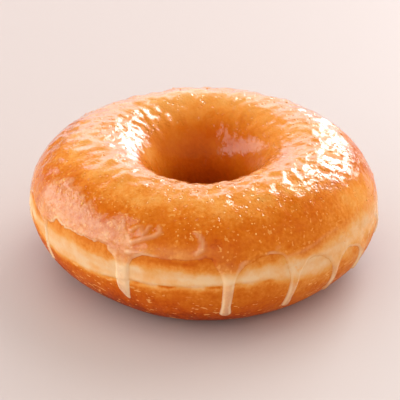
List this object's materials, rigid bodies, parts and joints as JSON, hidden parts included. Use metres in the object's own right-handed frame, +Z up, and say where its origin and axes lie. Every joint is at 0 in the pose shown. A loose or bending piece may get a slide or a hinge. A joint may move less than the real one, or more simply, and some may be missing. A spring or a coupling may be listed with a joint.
{
  "type": "ring doughnut",
  "caption": "Sweet ring doughnut to eat: a soft raised ring of fried dough with a hole through it, under a shiny sugar glaze that runs down its sides in drips.",
  "frame": {"origin": "on the surface that the doughnut rests on, in the middle of its hole", "axes": "+Z up through the hole, -Y towards the front, which is the side the picture shows"},
  "size_m": [0.0954, 0.0939, 0.0364],
  "materials": {
    "crust": "fried crust, golden brown with a pale band at the waist",
    "glaze": "thin wet sugar glaze, milky where it is thick"
  },
  "bodies": {
    "root": {"dough_ring": "crust"}
  },
  "joints": []
}
